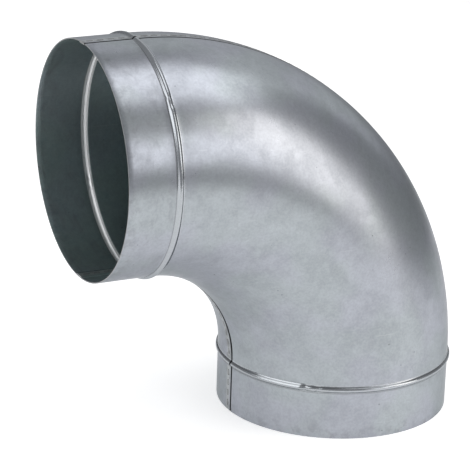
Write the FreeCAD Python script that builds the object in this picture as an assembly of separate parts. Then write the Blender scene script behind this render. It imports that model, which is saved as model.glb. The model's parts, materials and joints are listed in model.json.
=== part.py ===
"""Pressed 90 degree duct elbow in galvanised sheet steel.

The elbow is two half shells, each pressed from one blank together with its half of both collars. They meet at
the plane y = 0, along the throat (inside of the bend) and the heel (outside of the bend). At both seams the
front half's edge is set in by one sheet and the back half laps over it, so the collars stay round outside.
A roller has welded each lap with a row of short nuggets. A stop bead is rolled into the shells where each
collar meets the bend, and a duct pushed over the collar stops against it.

Frame: millimetres, +Z up. The origin is the centre of the lower collar's rim, on which the elbow stands. The
lower collar's axis is Z, the side collar points along -X, and the front half lies on the -Y side.
"""

import FreeCAD, Part
from FreeCAD import Vector

import math
import os

# Driving dimensions
DUCT_BORE = 160.0  # bore of the round duct that slips over each collar
SLIP_CLEARANCE = 0.4  # radial room between collar and duct
SHEET = 0.7  # thickness of the galvanised sheet
BEND_RADIUS = 153.0  # centreline radius of the bend
COLLAR_LENGTH = 35.0  # rim to the middle of the stop bead
BEAD_HEIGHT = 1.6
BEAD_WIDTH = 5.2
BEAD_CREST_RADIUS = 1.75  # outside of the crest
LAP_WIDTH = 8.0  # half of it on each side of the plane y = 0
EDGE_GAP = 0.4  # between a sheet's edge and the step it lies against
STEP_LENGTH = 0.8  # along the section, where the front half doubles as it steps in
NUGGET_LENGTH = 4.4  # along the seam
NUGGET_WIDTH = 1.8
NUGGET_PITCH = 7.0
NUGGET_SINK = 0.1  # how far each end of a nugget lies below its sheet
SEAM_MARGIN = 3.0  # end of a straight or curved run to its nearest nugget

# Sizes that follow from them
OUTER_RADIUS = DUCT_BORE / 2 - SLIP_CLEARANCE
BEND_START = COLLAR_LENGTH + BEAD_WIDTH / 2
BEND_CENTRE = Vector(-BEND_RADIUS, 0, BEND_START)
HALF_LAP = math.degrees(LAP_WIDTH / 2 / OUTER_RADIUS)
GAP_ANGLE = math.degrees(EDGE_GAP / OUTER_RADIUS)
STEP_ANGLE = math.degrees(STEP_LENGTH / OUTER_RADIUS)

# Angles round the section are counted about the collar's axis from the heel, through the back, to the throat
HEEL = 0
THROAT = 180
FULL_TURN = 360

ORIGIN = Vector(0, 0, 0)
Z_AXIS = Vector(0, 0, 1)
BEND_AXIS = Vector(0, -1, 0)  # turning about it carries the lower collar's end up to the side collar's
MITRE_NORMAL = Vector(1, 0, -1)  # mirror plane that swaps the two collars


def collar_surface(offset):
    """Line of the collar and its bead in the XZ plane, at this distance outside the sheet's outer face."""
    half_width = BEAD_WIDTH / 2
    radii = (half_width**2 + BEAD_HEIGHT**2) / (2 * BEAD_HEIGHT)
    flank_angle = math.asin(half_width / radii)
    crest_radius = BEAD_CREST_RADIUS + offset
    foot_radius = radii - BEAD_CREST_RADIUS - offset
    foot_x = OUTER_RADIUS + offset + foot_radius
    crest_x = OUTER_RADIUS + BEAD_HEIGHT + offset

    def on_foot(side, angle):
        x = foot_x - foot_radius * math.cos(angle)
        z = half_width - foot_radius * math.sin(angle)
        return Vector(x, 0, COLLAR_LENGTH + side * z)

    def foot_arc(side):
        return Part.Arc(on_foot(side, 0), on_foot(side, flank_angle / 2), on_foot(side, flank_angle))

    rim = Vector(OUTER_RADIUS + offset, 0, 0)
    crest = Vector(crest_x, 0, COLLAR_LENGTH)
    runs = [
        Part.LineSegment(rim, on_foot(-1, 0)),
        foot_arc(-1),
        Part.Arc(on_foot(-1, flank_angle), crest, on_foot(1, flank_angle)),
        foot_arc(1),
    ]
    return [run.toShape() for run in runs]


def closed_face(edges):
    return Part.Face(Part.Wire(Part.__sortEdges__(edges)))


def collar_band(start, end, step):
    """Lower collar with its bead, from start to end degrees round the section, moved outwards by step."""
    edges = collar_surface(step) + collar_surface(step - SHEET)
    for height in (0, BEND_START):
        inside = Vector(OUTER_RADIUS + step - SHEET, 0, height)
        outside = Vector(OUTER_RADIUS + step, 0, height)
        edges.append(Part.LineSegment(inside, outside).toShape())
    section = closed_face(edges)
    section.rotate(ORIGIN, Z_AXIS, start)
    return section.revolve(ORIGIN, Z_AXIS, end - start)


def bend_band(start, end, step):
    """The bend's wall, from start to end degrees round the section, moved outwards by step."""
    centre = Vector(0, 0, BEND_START)
    outside = Part.makeCircle(OUTER_RADIUS + step, centre, Z_AXIS, start, end)
    inside = Part.makeCircle(OUTER_RADIUS + step - SHEET, centre, Z_AXIS, start, end)
    edges = [outside, inside]
    for outer_corner, inner_corner in zip(outside.Vertexes, inside.Vertexes):
        edges.append(Part.LineSegment(outer_corner.Point, inner_corner.Point).toShape())
    return closed_face(edges).revolve(BEND_CENTRE, BEND_AXIS, 90)


def band(start, end, step=0.0):
    """Strip of sheet from rim to rim: lower collar, bend and side collar, which meet end to end."""
    lower = collar_band(start, end, step)
    side = lower.mirror(BEND_CENTRE, MITRE_NORMAL)
    return [lower, bend_band(start, end, step), side]


def one_solid(pieces):
    return pieces[0].multiFuse(pieces[1:]).removeSplitter().Solids[0]


def front_half():
    """The half on the -Y side. Both its edges are set in by one sheet, under the back half."""
    throat_wall = THROAT + HALF_LAP + GAP_ANGLE
    heel_wall = FULL_TURN - HALF_LAP - GAP_ANGLE
    wall = band(throat_wall, heel_wall)
    throat_strip = band(THROAT - HALF_LAP, throat_wall + STEP_ANGLE, -SHEET)
    heel_strip = band(heel_wall - STEP_ANGLE, FULL_TURN + HALF_LAP, -SHEET)
    return one_solid(wall + throat_strip + heel_strip)


def back_half():
    """The half on the +Y side. Its edges run straight on over the front half's."""
    return one_solid(band(HEEL - HALF_LAP, THROAT + HALF_LAP))


def nugget(overrun):
    """One weld nugget through both sheets, at height 0 on the +X side, its ends standing out by overrun."""
    outside = OUTER_RADIUS + overrun
    inside = OUTER_RADIUS - 2 * SHEET - overrun
    round_radius = NUGGET_WIDTH / 2
    straight = NUGGET_LENGTH / 2 - round_radius

    def at(y, z):
        return Vector(inside, y, z)

    outline = [
        Part.LineSegment(at(-round_radius, -straight), at(-round_radius, straight)),
        Part.Arc(at(-round_radius, straight), at(0, NUGGET_LENGTH / 2), at(round_radius, straight)),
        Part.LineSegment(at(round_radius, straight), at(round_radius, -straight)),
        Part.Arc(at(round_radius, -straight), at(0, -NUGGET_LENGTH / 2), at(-round_radius, -straight)),
    ]
    face = closed_face([run.toShape() for run in outline])
    return face.extrude(Vector(outside - inside, 0, 0))


def even_places(run_length):
    """Middles of the nuggets along a run, evenly spaced and clear of both its ends."""
    first = SEAM_MARGIN + NUGGET_LENGTH / 2
    span = run_length - 2 * first
    gaps = round(span / NUGGET_PITCH)
    return [first + span * k / gaps for k in range(gaps + 1)]


def seam(angle, overrun):
    """Nuggets along the whole seam at this angle round the section, on both collars and the bend."""
    one = nugget(overrun)
    one.rotate(ORIGIN, Z_AXIS, angle)
    row = []
    for height in even_places(COLLAR_LENGTH - BEAD_WIDTH / 2):
        lower = one.translated(Vector(0, 0, height))
        row += [lower, lower.mirror(BEND_CENTRE, MITRE_NORMAL)]
    path_radius = BEND_RADIUS + OUTER_RADIUS * math.cos(math.radians(angle))
    at_bend_start = one.translated(Vector(0, 0, BEND_START))
    for place in even_places(path_radius * math.pi / 2):
        turned = at_bend_start.copy()
        turned.rotate(BEND_CENTRE, BEND_AXIS, math.degrees(place / path_radius))
        row.append(turned)
    return row


pockets = seam(THROAT, SHEET) + seam(HEEL, SHEET)
parts = {
    "front_half_shell": front_half().cut(pockets),
    "back_half_shell": back_half().cut(pockets),
    "throat_seam_welds": Part.makeCompound(seam(THROAT, -NUGGET_SINK)),
    "heel_seam_welds": Part.makeCompound(seam(HEEL, -NUGGET_SINK)),
}

os.makedirs("parts", exist_ok=True)
for node, shape in parts.items():
    shape.exportStep(f"parts/{node}.step")
    print(node, "solids:", len(shape.Solids), "valid:", shape.isValid(), "volume:", round(shape.Volume, 1))
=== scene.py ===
import json
import math

import bpy
from mathutils import Matrix, Vector


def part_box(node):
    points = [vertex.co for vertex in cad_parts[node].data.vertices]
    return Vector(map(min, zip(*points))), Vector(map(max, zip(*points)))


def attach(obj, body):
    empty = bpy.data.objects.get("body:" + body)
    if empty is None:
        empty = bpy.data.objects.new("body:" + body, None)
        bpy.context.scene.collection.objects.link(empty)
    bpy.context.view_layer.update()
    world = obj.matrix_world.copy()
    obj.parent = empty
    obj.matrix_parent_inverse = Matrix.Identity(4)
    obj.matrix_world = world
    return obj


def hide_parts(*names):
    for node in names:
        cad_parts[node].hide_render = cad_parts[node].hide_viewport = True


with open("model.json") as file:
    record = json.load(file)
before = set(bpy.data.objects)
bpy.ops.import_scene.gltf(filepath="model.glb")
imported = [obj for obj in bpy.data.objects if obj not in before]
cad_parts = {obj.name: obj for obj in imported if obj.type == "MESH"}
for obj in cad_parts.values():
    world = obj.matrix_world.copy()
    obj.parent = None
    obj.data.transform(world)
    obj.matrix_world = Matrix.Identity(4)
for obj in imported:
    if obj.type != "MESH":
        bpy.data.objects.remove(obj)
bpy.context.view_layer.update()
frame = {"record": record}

# ======================================================================================================
# Front half shell. The half nearer the -Y side, pressed from one blank of 0.7 mm hot-dip galvanised sheet:
# half of the bend with half of both collars. Its two long edges are set in by one sheet, to go under the
# back half, and the stop beads are rolled into it after welding.

sheet = 0.0007
mounts = {mount["name"]: mount for mount in frame["record"]["mounts"]}
collar_radius = mounts["lower_spigot"]["dims"]["r_mm"] / 1000
side_mouth = Vector(mounts["side_spigot"]["pos_m"])
front_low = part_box("front_half_shell")[0]
crest_clearance = 0.00001
bead_height = -front_low.y - collar_radius - crest_clearance
bead_width = 0.0052
bead_crest_outside = 0.00175
bead_crest_radius = bead_crest_outside - sheet / 2
bead_middle = 0.035
bead_foot = bead_middle - bead_width / 2
bend_start = bead_middle + bead_width / 2
bend_radius = side_mouth.z - bend_start
bend_centre = Vector((-bend_radius, 0, bend_start))
wall_radius = collar_radius - sheet / 2
half_lap = 0.004
lap_gap = 0.0004
lap_step = 0.0008

steps_round = 288
steps_along_bend = 108
steps_along_collar = 8
steps_on_foot = 4
steps_on_crest = 10


def bead_rings():
    """Rings of one bead, from the collar's side to the bend's: how far along it, and the rise there."""
    half_width = bead_width / 2
    radii = (half_width**2 + bead_height**2) / (2 * bead_height)
    flank = math.asin(half_width / radii)
    foot_radius = radii - bead_crest_radius
    rings = []
    for step in range(1, steps_on_foot + 1):
        angle = flank * step / steps_on_foot
        rings.append((foot_radius * math.sin(angle), foot_radius * (1 - math.cos(angle))))
    for step in range(1, steps_on_crest // 2 + 1):
        angle = flank * (1 - step / (steps_on_crest // 2))
        along = half_width - bead_crest_radius * math.sin(angle)
        rise = bead_height - bead_crest_radius * (1 - math.cos(angle))
        rings.append((along, rise))
    falling = [(bead_width - along, rise) for along, rise in reversed(rings[:-1])]
    return rings + falling + [(bead_width, 0.0)]


def roll_collar(rim, along, first, rings):
    """Extrudes the selected edge along a collar, ring by ring. Each ring is a distance and a rise."""
    at, radius = first
    spread = Vector(1 if abs(c) < 0.5 else 0 for c in along)
    for distance, rise in rings:
        move = along * (distance - at)
        bpy.ops.mesh.extrude_edges_move(TRANSFORM_OT_translate={"value": move})
        factor = (wall_radius + rise) / radius
        scale = [factor if s else 1.0 for s in spread]
        bpy.ops.transform.resize(value=scale, center_override=rim + along * distance)
        at, radius = distance, wall_radius + rise


def select_where(piece, test):
    """Selects the vertices whose place passes the test."""
    bpy.ops.object.mode_set(mode="OBJECT")
    for vertex in piece.data.vertices:
        vertex.select = test(vertex.co)
    for edge in piece.data.edges:
        edge.select = all(piece.data.vertices[v].select for v in edge.vertices)
    for face in piece.data.polygons:
        face.select = all(piece.data.vertices[v].select for v in face.vertices)
    bpy.ops.object.mode_set(mode="EDIT")


def new_group(name, takes, gives):
    """A shader group, the sockets that its inputs come in by, and those that its outputs leave by.

    Takes is each input's name and type. Gives is the outputs' names, and each is a float.
    """
    group = bpy.data.node_groups.new(name, "ShaderNodeTree")
    for socket, kind in takes.items():
        group.interface.new_socket(socket, in_out="INPUT", socket_type=kind)
    for socket in gives:
        group.interface.new_socket(socket, in_out="OUTPUT", socket_type="NodeSocketFloat")
    return group, group.nodes.new("NodeGroupInput").outputs, group.nodes.new("NodeGroupOutput").inputs


def add(tree, kind, settings=None, **inputs):
    """A node with its settings, whose inputs are values or the sockets they come from."""
    node = tree.nodes.new("ShaderNode" + kind)
    for key, value in (settings or {}).items():
        setattr(node, key, value)
    for key, value in inputs.items():
        socket = node.inputs[int(key[1:])] if key[1:].isdigit() else node.inputs[key.replace("_", " ")]
        if isinstance(value, bpy.types.NodeSocket):
            tree.links.new(value, socket)
        else:
            socket.default_value = value
    return node


def maths(tree, operation, *values):
    """Result of a Math node on values or sockets."""
    inputs = {f"n{k}": value for k, value in enumerate(values)}
    return add(tree, "Math", {"operation": operation}, **inputs).outputs[0]


def fade(tree, value, start, end, low=0.0, high=1.0):
    """value mapped smoothly from start..end to low..high."""
    return add(
        tree,
        "MapRange",
        {"interpolation_type": "SMOOTHSTEP"},
        Value=value,
        From_Min=start,
        From_Max=end,
        To_Min=low,
        To_Max=high,
    ).outputs["Result"]


def noise(tree, place, size, detail=2.0, roughness=0.5, distortion=0.0):
    """Noise from 0 to 1 whose lumps are about this size in metres."""
    return add(
        tree,
        "TexNoise",
        Vector=place,
        Scale=1 / size,
        Detail=detail,
        Roughness=roughness,
        Distortion=distortion,
    ).outputs["Fac"]


# Zinc bloom: the cloudy patches, faint crystals and grain of a hot-dip coating that has been pressed.
crystal_size = 0.006
zinc_bloom, into, outof = new_group(
    "zinc bloom",
    {"Place": "NodeSocketVector"},
    ("Clouds", "Mottle", "Crystals", "Grain", "Waves"),
)
clouds = noise(zinc_bloom, into["Place"], size=0.030, detail=3, roughness=0.55, distortion=0.8)
mottle = noise(zinc_bloom, into["Place"], size=0.007, detail=4, roughness=0.6, distortion=0.4)
grain = noise(zinc_bloom, into["Place"], size=0.0005, detail=2, roughness=0.6)
waves = noise(zinc_bloom, into["Place"], size=0.060, detail=1.5, roughness=0.45)
cells = add(zinc_bloom, "TexVoronoi", Vector=into["Place"], Scale=1 / crystal_size, Randomness=1.0)
crystals = add(zinc_bloom, "SeparateColor", Color=cells.outputs["Color"]).outputs[0]
zinc_bloom.links.new(clouds, outof["Clouds"])
zinc_bloom.links.new(mottle, outof["Mottle"])
zinc_bloom.links.new(crystals, outof["Crystals"])
zinc_bloom.links.new(grain, outof["Grain"])
zinc_bloom.links.new(waves, outof["Waves"])

# Seam marks: painted shade in the gap beside the lap's edge, a matt near-black strip, and zinc dulled by heat
# along the row of welds. The gap is on the -Y side outside (Facing -1) and on the +Y side inside (Facing 1).
# On the lower run of the throat, where the bend faces -X, the painted shade is widened past the gap.
painted_gap_shade = (0.012, 0.013, 0.014, 1)
gap_shade_fades_in = 0.012
gap_shade_fades_out = (0.095, 0.12)
throat_behind = -0.06
seam_marks, into, outof = new_group(
    "seam marks",
    {"Place": "NodeSocketVector", "Facing": "NodeSocketFloat"},
    ("Gap", "Heat", "Soot"),
)
place = add(seam_marks, "SeparateXYZ", Vector=into["Place"])
off_line = maths(seam_marks, "ABSOLUTE", place.outputs["Y"])
towards_gap = maths(seam_marks, "MULTIPLY", place.outputs["Y"], into["Facing"])
off_gap = maths(seam_marks, "ABSOLUTE", maths(seam_marks, "SUBTRACT", towards_gap, half_lap + lap_gap))
throat_low = fade(seam_marks, place.outputs["Z"], bend_start, bend_start + gap_shade_fades_in)
throat_high = fade(seam_marks, place.outputs["Z"], *gap_shade_fades_out, 1.0, 0.0)
throat_side = maths(seam_marks, "LESS_THAN", place.outputs["X"], throat_behind)
up_throat = maths(seam_marks, "MULTIPLY", maths(seam_marks, "MULTIPLY", throat_low, throat_high), throat_side)
off_gap_shade = maths(seam_marks, "MULTIPLY_ADD", up_throat, -lap_gap, off_gap)
gap = fade(seam_marks, off_gap_shade, lap_gap * 1.7, lap_gap * 2.6, 1.0, 0.0)
patchy = noise(seam_marks, into["Place"], size=0.006, detail=3, roughness=0.6)
heat = fade(seam_marks, off_line, 0.0012, 0.0034, 1.0, 0.0)
burnt = fade(seam_marks, off_line, 0.0010, 0.0065, 1.0, 0.0)
soot = maths(seam_marks, "MULTIPLY", burnt, fade(seam_marks, patchy, 0.5, 0.62))
seam_marks.links.new(gap, outof["Gap"])
seam_marks.links.new(heat, outof["Heat"])
seam_marks.links.new(soot, outof["Soot"])

# Bead marks: metal burnished by the beading rollers, painted shade as dark lines at the bead's foot and on
# its bend side, and the strip behind each rim that gets scuffed.
scuffed_rim = 0.012
bead_marks, into, outof = new_group(
    "bead marks",
    {"Place": "NodeSocketVector"},
    ("Burnish", "Shade lines", "Rim"),
)
place = add(bead_marks, "SeparateXYZ", Vector=into["Place"])
past_lower = maths(bead_marks, "SUBTRACT", place.outputs["Z"], bead_middle)
past_side = maths(bead_marks, "SUBTRACT", place.outputs["X"], side_mouth.x + bead_middle)
nearer_lower = maths(bead_marks, "LESS_THAN", maths(bead_marks, "ABSOLUTE", past_lower),
                     maths(bead_marks, "ABSOLUTE", past_side))
past_bead = add(bead_marks, "Mix", {"data_type": "FLOAT"}, Factor=nearer_lower, n2=past_side,
                n3=past_lower).outputs[0]
from_bead = maths(bead_marks, "ABSOLUTE", past_bead)
burnish = fade(bead_marks, from_bead, bead_width * 0.46, bead_width * 0.58, 1.0, 0.0)
crest_line = maths(bead_marks, "ABSOLUTE", maths(bead_marks, "SUBTRACT", past_bead, bead_width * 0.3))
foot_line = maths(bead_marks, "ABSOLUTE", maths(bead_marks, "ADD", past_bead, bead_width * 0.5))
# Painted shade: thin dark lines on the bead's bend side and at its foot.
painted_bead_shade = maths(bead_marks, "MAXIMUM", fade(bead_marks, crest_line, 0.0001, 0.0005, 1.0, 0.0),
               fade(bead_marks, foot_line, 0.0001, 0.0005, 0.8, 0.0))
from_rim = maths(bead_marks, "MINIMUM", place.outputs["Z"],
                 maths(bead_marks, "SUBTRACT", place.outputs["X"], side_mouth.x))
rim = fade(bead_marks, from_rim, 0.0, scuffed_rim, 1.0, 0.0)
bead_marks.links.new(burnish, outof["Burnish"])
bead_marks.links.new(painted_bead_shade, outof["Shade lines"])
bead_marks.links.new(rim, outof["Rim"])

# Handling marks: darker smudges wiped round the collars, hair scratches in two directions, and small specks.
handling, into, outof = new_group(
    "handling marks",
    {"Place": "NodeSocketVector"},
    ("Smudges", "Scratches", "Specks"),
)
wiped = add(handling, "Mapping", Vector=into["Place"], Scale=(1.6, 0.55, 0.8)).outputs[0]
place = add(handling, "SeparateXYZ", Vector=into["Place"])
side_bead_foot = side_mouth.x + bead_foot
side_collar = fade(handling, place.outputs["X"], side_bead_foot - 0.002, side_bead_foot, 1.0, 0.4)
patches = noise(handling, wiped, size=0.016, detail=4, roughness=0.62, distortion=1.2)
smudges = maths(handling, "MULTIPLY", fade(handling, patches, 0.5, 0.7), side_collar)
hairs = []
for turn, length in (((0.3, 0.2, 0.5), 0.05), ((1.1, 0.7, 2.1), 0.035)):
    drawn = add(handling, "Mapping", Vector=into["Place"], Rotation=turn, Scale=(0.012, 1, 1)).outputs[0]
    hairs.append(fade(handling, noise(handling, drawn, length / 60, detail=1, roughness=0.3), 0.765, 0.80))
specks = fade(handling, noise(handling, into["Place"], size=0.0028, detail=1, roughness=0.4), 0.79, 0.83)
handling.links.new(smudges, outof["Smudges"])
handling.links.new(maths(handling, "MAXIMUM", *hairs), outof["Scratches"])
handling.links.new(specks, outof["Specks"])


def mix_colour(tree, share, first, second, blend="MIX"):
    """The first colour mixed with this share of the second."""
    mixer = add(tree, "Mix", {"data_type": "RGBA", "blend_type": blend}, n0=share, n6=first, n7=second)
    return mixer.outputs[2]


def galvanised(name, facing, dark, light, smooth, rough, burnished, burnish, bead_roughness):
    """Zinc-coated sheet between two greys and two roughnesses, with the marks of welding and beading.

    The bead is this share of the burnished colour, and this much rougher than the sheet. Each mark is
    painted over the one before it, from its mask, its strength and its grey.
    """
    finish = bpy.data.materials.new(name)
    finish.use_nodes = True
    tree = finish.node_tree
    shader = tree.nodes["Principled BSDF"]
    shader.inputs["Specular Tint"].default_value = (0.62, 0.63, 0.64, 1)
    place = add(tree, "TexCoord").outputs["Object"]
    bloom = add(tree, "Group", {"node_tree": zinc_bloom}, Place=place).outputs
    seams = add(tree, "Group", {"node_tree": seam_marks}, Place=place, Facing=facing).outputs
    beads = add(tree, "Group", {"node_tree": bead_marks}, Place=place).outputs
    wear = add(tree, "Group", {"node_tree": handling}, Place=place).outputs
    tone = maths(tree, "MULTIPLY_ADD", bloom["Clouds"], 0.6, maths(tree, "MULTIPLY", bloom["Mottle"], 0.4))
    tone = maths(tree, "MULTIPLY_ADD", bloom["Crystals"], 0.06, tone)
    colour = mix_colour(tree, fade(tree, tone, 0.35, 0.68), dark, light)
    tint = fade(tree, noise(tree, place, 0.045, 2, 0.5), 0.4, 0.6)
    speckle = fade(tree, noise(tree, place, 0.0016, 2, 0.6), 0.3, 0.7, 0.945, 1.045)
    colour = mix_colour(tree, 1.0, colour, speckle, "MULTIPLY")
    hue = mix_colour(tree, tint, (1.0, 0.985, 1.02, 1), (0.98, 0.995, 0.985, 1))
    colour = mix_colour(tree, 1.0, colour, hue, "MULTIPLY")
    scuffs = maths(tree, "MULTIPLY", beads["Rim"], fade(tree, noise(tree, place, 0.005, 4, 0.65), 0.5, 0.62))
    marks = (
        (wear["Smudges"], 0.26, (0.19, 0.195, 0.205, 1)),
        (scuffs, 0.28, (0.17, 0.175, 0.18, 1)),
        (wear["Specks"], 0.6, (0.12, 0.12, 0.125, 1)),
        (wear["Scratches"], 0.2, (0.62, 0.63, 0.64, 1)),
        (seams["Heat"], 0.5, (0.52, 0.53, 0.52, 1)),
        (seams["Soot"], 0.55, (0.16, 0.165, 0.17, 1)),
        (beads["Burnish"], burnish, burnished),
        # Painted shade lines along each bead.
        (beads["Shade lines"], 0.6, (0.10, 0.105, 0.11, 1)),
    )
    for mask, strength, grey in marks:
        colour = mix_colour(tree, maths(tree, "MULTIPLY", mask, strength), colour, grey)
    # Painted shade: the gap is painted near black, and further down it is made matt and not metallic.
    colour = mix_colour(tree, seams["Gap"], colour, painted_gap_shade)
    tree.links.new(colour, shader.inputs["Base Color"])
    roughness = fade(tree, tone, 0.3, 0.7, rough, smooth)
    roughness = maths(tree, "MULTIPLY_ADD", bloom["Grain"], 0.06, roughness)
    roughness = maths(tree, "MULTIPLY_ADD", beads["Burnish"], bead_roughness, roughness)
    roughness = maths(tree, "MAXIMUM", roughness, maths(tree, "MULTIPLY", seams["Gap"], 0.9))
    tree.links.new(roughness, shader.inputs["Roughness"])
    tree.links.new(maths(tree, "SUBTRACT", 1.0, seams["Gap"]), shader.inputs["Metallic"])
    broad = add(tree, "Bump", Height=bloom["Waves"], Distance=0.0005, Strength=1.0)
    medium = add(tree, "Bump", Height=bloom["Mottle"], Distance=0.00004, Strength=1.0,
                 Normal=broad.outputs["Normal"])
    fine = add(tree, "Bump", Height=bloom["Grain"], Distance=0.000012, Strength=1.0,
               Normal=medium.outputs["Normal"])
    tree.links.new(fine.outputs["Normal"], shader.inputs["Normal"])
    return finish


zinc_outside = galvanised(
    "zinc_outside",
    facing=-1,
    dark=(0.335, 0.357, 0.380, 1),
    light=(0.385, 0.408, 0.435, 1),
    smooth=0.25,
    rough=0.33,
    burnished=(0.44, 0.46, 0.48, 1),
    burnish=0.6,
    bead_roughness=-0.12,
)
zinc_inside = galvanised(
    "zinc_inside",
    facing=1,
    dark=(0.28, 0.35, 0.355, 1),
    light=(0.34, 0.40, 0.405, 1),
    smooth=0.42,
    rough=0.52,
    burnished=(1.0, 1.0, 1.0, 1),
    burnish=0.95,
    bead_roughness=0.06,
)

# The sheet's cut edge: bare steel, torn rather than cut clean, with the same painted shade where it faces the
# gap.
sheared_edge = bpy.data.materials.new("sheared_edge")
sheared_edge.use_nodes = True
tree = sheared_edge.node_tree
shader = tree.nodes["Principled BSDF"]
place = add(tree, "TexCoord").outputs["Object"]
seams = add(tree, "Group", {"node_tree": seam_marks}, Place=place, Facing=-1).outputs
tears = noise(tree, place, size=0.0006, detail=2, roughness=0.7)
colour = mix_colour(tree, tears, (0.20, 0.205, 0.21, 1), (0.34, 0.345, 0.35, 1))
# Painted shade in the gap, the same near black as on the sheet.
colour = mix_colour(tree, seams["Gap"], colour, painted_gap_shade)
tree.links.new(colour, shader.inputs["Base Color"])
tree.links.new(fade(tree, tears, 0.3, 0.7, 0.3, 0.5), shader.inputs["Roughness"])
tree.links.new(maths(tree, "SUBTRACT", 1.0, seams["Gap"]), shader.inputs["Metallic"])


def crest_point(rim, along, angle):
    """Point on a bead's crest, the angle in degrees from +X (lower bead) or +Z (side bead) towards +Y."""
    turn = math.radians(angle)
    zero = Vector((1, 0, 0)) if along.z else Vector((0, 0, 1))
    out = zero * math.cos(turn) + Vector((0, math.sin(turn), 0))
    return rim + along * bead_middle + out * (wall_radius + bead_height)


def straighten_bead(half, start, end, share):
    """Turns the bend's side of the lower bead into a plain slope, by this share, between two angles.

    The angles are in degrees from +X towards +Y.
    """
    for along, rise in bead_rings():
        if along <= bead_width / 2:
            continue
        slope_rise = bead_height * 2 * (1 - along / bead_width)
        height = bead_foot + along

        def on_ring(place):
            angle = math.degrees(math.atan2(place.y, place.x)) % 360
            return start <= angle < end and abs(place.z - height) < bead_width / 200

        select_where(half, on_ring)
        factor = 1 + (slope_rise - rise) * share / (wall_radius + rise)
        bpy.ops.transform.resize(value=(factor, factor, 1), center_override=(0, 0, height))


dent_reach, dent_depth = 0.0026, 0.00025
pit_reach, pit_depth = 0.0014, 0.00035


def press_mark(half, middle):
    """The small dent, with a pit in it, that a beading roller leaves where it comes down or is lifted off."""
    for reach, depth in ((dent_reach, dent_depth), (pit_reach, pit_depth)):
        select_where(half, lambda place: (place - middle).length < reach)
        bpy.ops.transform.shrink_fatten(value=-depth)


def press_half(name, towards, set_in, plain_runs, marks):
    """One half shell on the side that towards (-1 or 1) gives in Y, with its lap strips set in by set_in.

    Plain runs are where the lower bead is straightened (start, end, share), and marks are the dents' middles.
    """
    bpy.ops.object.select_all(action="DESELECT")
    bpy.ops.mesh.primitive_circle_add(vertices=steps_round, radius=wall_radius, location=(0, 0, 0))
    half = bpy.context.object
    half.name = name
    half.data.name = name
    bpy.ops.object.mode_set(mode="EDIT")
    bpy.ops.mesh.select_mode(type="VERT")
    cuts = [(-half_lap, True), (half_lap + lap_gap, False), (half_lap + lap_gap + lap_step, False)]
    for distance, trim in cuts:
        bpy.ops.mesh.select_all(action="SELECT")
        bpy.ops.mesh.bisect(
            plane_co=(0, towards * distance, 0),
            plane_no=(0, -towards, 0),
            clear_outer=trim,
        )
    bpy.ops.mesh.select_all(action="SELECT")

    straight = [(bead_foot * k / steps_along_collar, 0.0) for k in range(1, steps_along_collar + 1)]
    bead = bead_rings()
    up = Vector((0, 0, 1))
    roll_collar(Vector(), up, (0.0, wall_radius), straight + [(bead_foot + d, r) for d, r in bead])
    bpy.ops.mesh.spin(
        steps=steps_along_bend,
        angle=math.pi / 2,
        center=bend_centre,
        axis=(0, 1, 0),
    )
    bend_end = Vector((bend_centre.x, 0, side_mouth.z))
    back = [(bead_width + bead_foot * k / steps_along_collar, 0.0) for k in range(1, steps_along_collar + 1)]
    roll_collar(bend_end, Vector((-1, 0, 0)), (0.0, wall_radius), bead + back)
    bpy.ops.mesh.select_all(action="SELECT")
    bpy.ops.mesh.remove_doubles(threshold=1e-6)
    bpy.ops.mesh.normals_make_consistent(inside=False)
    select_where(half, lambda place: place.y * towards < half_lap + lap_gap + lap_step / 4)
    bpy.ops.transform.shrink_fatten(value=-set_in)
    for start, end, share in plain_runs:
        straighten_bead(half, start, end, share)
    for place in marks:
        press_mark(half, place)
    bpy.ops.object.mode_set(mode="OBJECT")
    for finish in (zinc_outside, zinc_inside, sheared_edge):
        half.data.materials.append(finish)
    wall = half.modifiers.new("sheet", "SOLIDIFY")
    wall.thickness = sheet
    wall.offset = 0
    wall.use_even_offset = True
    wall.material_offset = 1
    wall.material_offset_rim = 2
    bpy.ops.object.modifier_apply(modifier=wall.name)
    broken_edge = half.modifiers.new("broken edge", "BEVEL")
    broken_edge.width = 0.00008
    broken_edge.segments = 2
    broken_edge.limit_method = "ANGLE"
    broken_edge.angle_limit = math.radians(60)
    bpy.ops.object.modifier_apply(modifier=broken_edge.name)
    bpy.ops.object.shade_smooth_by_angle(angle=math.radians(40))
    return half


lower_rim = (Vector(), Vector((0, 0, 1)))
side_rim = (side_mouth, Vector((1, 0, 0)))
front_marks = [crest_point(*lower_rim, angle) for angle in (229.5, 235.5)]
front_marks += [crest_point(*side_rim, angle) for angle in (-46, -49.5)]

# Beside the throat seam the lower bead's bend side is a plain slope, and its rolled shape fades into it.
plain_start, plain_end = 202, 229
plain_fade = 3
plain_runs = []
for quarters in (1, 2, 3):
    run_end = plain_start - plain_fade * (3 - quarters)
    plain_runs.append((run_end - plain_fade, run_end, quarters / 4))
plain_runs.append((plain_start, plain_end, 1.0))

front = press_half("front_half", -1, sheet, plain_runs, front_marks)
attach(front, "root")
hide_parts("front_half_shell")

# ======================================================================================================
# Back half shell. The half on the +Y side, pressed in the same die. Its long edges run straight on over the
# front half's set-in edges, outside, and end in a sheared edge that shows as a line along both seams.

back_marks = [crest_point(*side_rim, angle) for angle in (118, 121.5)]
back = press_half("back_half", 1, 0.0, [], back_marks)
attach(back, "root")
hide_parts("back_half_shell")

# ======================================================================================================
# Seam welds. A roller electrode has fused the two sheets in a row of short nuggets down the middle of each
# lap, throat and heel. Each nugget is burnt grey steel, pressed slightly hollow where the roller ran.

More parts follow.
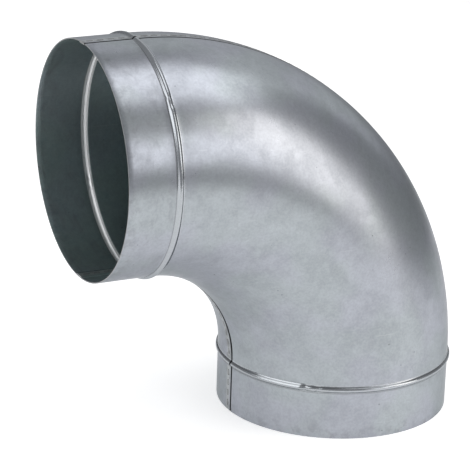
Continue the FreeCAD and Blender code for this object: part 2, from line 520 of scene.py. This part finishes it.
burnt_weld = bpy.data.materials.new("burnt_weld")
burnt_weld.use_nodes = True
tree = burnt_weld.node_tree
shader = tree.nodes["Principled BSDF"]
shader.inputs["Metallic"].default_value = 1.0
place = add(tree, "TexCoord").outputs["Object"]
scale_spots = noise(tree, place, size=0.0011, detail=3, roughness=0.65)
colour = mix_colour(tree, scale_spots, (0.05, 0.05, 0.055, 1), (0.26, 0.26, 0.26, 1))
tree.links.new(colour, shader.inputs["Base Color"])
tree.links.new(fade(tree, scale_spots, 0.3, 0.7, 0.35, 0.65), shader.inputs["Roughness"])

weld_length = 0.0044
weld_width = 0.0018
weld_pitch = 0.0070
weld_margin = 0.0030
weld_proud = 0.00006
weld_depth = 2 * sheet + 2 * weld_proud
weld_lip = weld_width / 7
weld_hollow = weld_width / 6
steps_round_weld = 12


def weld_nugget():
    """One nugget through both sheets at the origin, long in Z, its outer end at +X."""
    bpy.ops.object.select_all(action="DESELECT")
    bpy.ops.mesh.primitive_cylinder_add(
        vertices=steps_round_weld,
        radius=weld_width / 2,
        depth=weld_depth,
        location=(-weld_depth / 2, 0, 0),
        rotation=(0, math.pi / 2, 0),
    )
    nugget = bpy.context.object
    bpy.ops.object.transform_apply(location=True, rotation=True, scale=True)
    bpy.ops.object.mode_set(mode="EDIT")
    bpy.ops.mesh.select_mode(type="VERT")
    reach = (weld_length - weld_width) / 2
    for end in (-1, 1):
        select_where(nugget, lambda place: place.z * end > weld_width / 20)
        bpy.ops.transform.translate(value=(0, 0, end * reach))
    bpy.ops.object.mode_set(mode="OBJECT")
    for face in nugget.data.polygons:
        face.select = abs(face.normal.x) > 0.9
    bpy.ops.object.mode_set(mode="EDIT")
    bpy.ops.mesh.select_mode(type="FACE")
    bpy.ops.mesh.inset(thickness=weld_lip, depth=-weld_proud / 4, use_individual=True)
    bpy.ops.mesh.inset(thickness=weld_hollow, depth=-weld_proud, use_individual=True)
    bpy.ops.object.mode_set(mode="OBJECT")
    rounding = nugget.modifiers.new("rounding", "BEVEL")
    rounding.width = weld_proud / 1.5
    rounding.limit_method = "ANGLE"
    rounding.angle_limit = math.radians(50)
    bpy.ops.object.modifier_apply(modifier=rounding.name)
    bpy.ops.object.shade_smooth_by_angle(angle=math.radians(50))
    return nugget


def even_places(run):
    """Middles of the nuggets along a run of this length."""
    first = weld_margin + weld_length / 2
    span = run - 2 * first
    gaps = round(span / weld_pitch)
    return [first + span * k / gaps for k in range(gaps + 1)]


def weld_seam(name, side):
    """Nuggets along the whole seam: side is -1 at the throat and 1 at the heel."""
    face = Matrix.Rotation(math.pi if side < 0 else 0, 4, "Z")
    face = Matrix.Translation((side * (collar_radius + weld_proud), 0, 0)) @ face
    to_bend = Matrix.Translation(bend_centre)
    mitre = Matrix(((0, 0, 1, 0), (0, 1, 0, 0), (1, 0, 0, 0), (0, 0, 0, 1)))
    swap_ends = to_bend @ mitre @ to_bend.inverted()
    placings = []
    for height in even_places(bead_foot):
        low = Matrix.Translation((0, 0, height)) @ face
        placings += [low, swap_ends @ low]
    path_radius = bend_radius + side * collar_radius
    for place in even_places(path_radius * math.pi / 2):
        turn = to_bend @ Matrix.Rotation(-place / path_radius, 4, "Y") @ to_bend.inverted()
        placings.append(turn @ Matrix.Translation((0, 0, bend_start)) @ face)

    first = weld_nugget()
    copies = []
    for placing in placings:
        copy = first.copy()
        copy.data = first.data.copy()
        copy.data.transform(placing)
        if placing.is_negative:
            copy.data.flip_normals()
        bpy.context.collection.objects.link(copy)
        copies.append(copy)
    bpy.data.objects.remove(first)
    bpy.ops.object.select_all(action="DESELECT")
    for copy in copies:
        copy.select_set(True)
    bpy.context.view_layer.objects.active = copies[0]
    bpy.ops.object.join()
    row = bpy.context.object
    row.name = name
    row.data.name = name
    row.data.materials.clear()
    row.data.materials.append(burnt_weld)
    return row


throat_welds = weld_seam("throat_welds", -1)
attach(throat_welds, "root")
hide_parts("throat_seam_welds")

heel_welds = weld_seam("heel_welds", 1)
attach(heel_welds, "root")
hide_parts("heel_seam_welds")

# ======================================================================================================
# Studio. The elbow stands on its lower collar on a plain pale floor that glows a little, like a light table.
# A warm softbox stands at the right and a small neutral one in front. Larger ones are overhead, at the left
# and behind.

floor_size = 5.4
floor_middle = (-2.05, 1.98, 0)
lamp_distance = 1.6

bpy.ops.object.select_all(action="DESELECT")
bpy.ops.mesh.primitive_plane_add(size=floor_size, location=floor_middle)
floor = bpy.context.object
floor.name = "studio_floor"
floor_paint = bpy.data.materials.new("studio_floor")
floor_paint.use_nodes = True
floor_shader = floor_paint.node_tree.nodes["Principled BSDF"]
floor_shader.inputs["Base Color"].default_value = (0.9, 0.9, 0.9, 1)
floor_shader.inputs["Roughness"].default_value = 1.0
floor_shader.inputs["Emission Color"].default_value = (1, 1, 1, 1)
floor_shader.inputs["Emission Strength"].default_value = 0.5
floor.data.materials.append(floor_paint)


def soft_light(name, azimuth, elevation, width, height, radiance, tint=(1, 1, 1)):
    """A rectangular soft light that faces the elbow. Azimuth 0 is -Y and 90 is +X, in degrees."""
    elbow_middle = Vector((-0.06, 0.0, 0.14))
    turn, rise = math.radians(azimuth), math.radians(elevation)
    towards = Vector((math.sin(turn) * math.cos(rise), -math.cos(turn) * math.cos(rise), math.sin(rise)))
    lamp = bpy.data.lights.new(name, "AREA")
    lamp.shape = "RECTANGLE"
    lamp.size = width
    lamp.size_y = height
    lamp.color = tint
    lamp.energy = radiance * math.pi * width * height
    holder = bpy.data.objects.new(name, lamp)
    holder.location = elbow_middle + towards * lamp_distance
    holder.rotation_euler = towards.to_track_quat("Z", "Y").to_euler()
    bpy.context.collection.objects.link(holder)


soft_light("right_softbox", 49, 20, 0.65, 1.35, 2.25, (1.0, 0.96, 0.9))
soft_light("front_softbox", 24, 19, 0.6, 0.7, 1.8)
soft_light("overhead", 80, 66, 1.0, 1.0, 1.75)
soft_light("left_softbox", -80, 32, 1.3, 1.2, 1.6)
soft_light("behind", 140, 28, 1.9, 1.3, 0.5)

# The room is a mid grey to the metal and white to the camera.
room = bpy.data.worlds.new("room")
room.use_nodes = True
walls = room.node_tree.nodes["Background"]
walls.inputs["Color"].default_value = (0.38, 0.385, 0.395, 1)
beyond = add(room.node_tree, "Background", Color=(1, 1, 1, 1))
eye = add(room.node_tree, "LightPath").outputs["Is Camera Ray"]
seen = add(room.node_tree, "MixShader", Fac=eye, n1=walls.outputs[0], n2=beyond.outputs[0])
room.node_tree.links.new(seen.outputs[0], room.node_tree.nodes["World Output"].inputs["Surface"])
bpy.context.scene.world = room

# ======================================================================================================
# Camera. It stands on the -X, -Y side and a little above, with a long lens, and leans by a small roll. Its
# angles are in degrees, azimuth from -Y towards +X.

camera_azimuth = math.radians(-26.1)
camera_elevation = math.radians(19.4)
camera_roll = math.radians(1.9)
camera_distance = 1.90
camera_target = Vector((-0.0096, 0.1398, 0.0714))
back_off = Vector(
    (
        math.sin(camera_azimuth) * math.cos(camera_elevation),
        -math.cos(camera_azimuth) * math.cos(camera_elevation),
        math.sin(camera_elevation),
    )
)
level_right = (-back_off).cross(Vector((0, 0, 1))).normalized()
level_up = level_right.cross(-back_off)
right = level_right * math.cos(camera_roll) + level_up * math.sin(camera_roll)
upward = level_up * math.cos(camera_roll) - level_right * math.sin(camera_roll)
lens_data = bpy.data.cameras.new("camera")
lens_data.sensor_width = 36
lens_data.lens = 198.3
camera = bpy.data.objects.new("camera", lens_data)
camera.location = camera_target + back_off * camera_distance
camera.rotation_euler = Matrix((right, upward, back_off)).transposed().to_euler()
bpy.context.collection.objects.link(camera)
bpy.context.scene.camera = camera
bpy.context.scene.view_settings.view_transform = "Standard"
